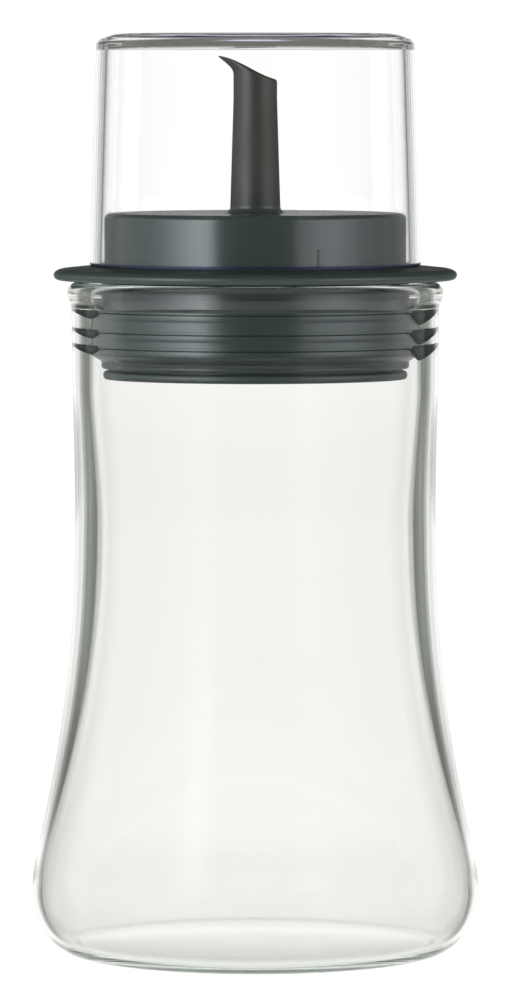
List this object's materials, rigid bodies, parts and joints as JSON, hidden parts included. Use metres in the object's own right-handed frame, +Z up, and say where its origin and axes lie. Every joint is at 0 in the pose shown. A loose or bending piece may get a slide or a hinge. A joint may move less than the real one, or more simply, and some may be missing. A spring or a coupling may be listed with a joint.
{
  "type": "soy sauce cruet",
  "caption": "Small waisted glass table cruet, empty, with a black finned stopper, a thin beaked pouring spout and a clear cup-shaped cap.",
  "frame": {"origin": "middle of the bottle's flat foot, on the surface it stands on", "axes": "+Z up along the bottle's axis, the spout's beak points to -X, the pictured side faces -Y"},
  "size_m": [0.06, 0.06, 0.1235],
  "materials": {
    "clear_glass": "polished blown glass, faint grey-green",
    "black_plastic": "satin moulding",
    "black_silicone": "soft satin",
    "clear_plastic": "clear polished moulding, faint violet"
  },
  "bodies": {
    "root": {"bottle": "clear_glass", "spout_stopper": "black_plastic", "seal_ring": "black_silicone", "clear_cap": "clear_plastic"}
  },
  "joints": []
}
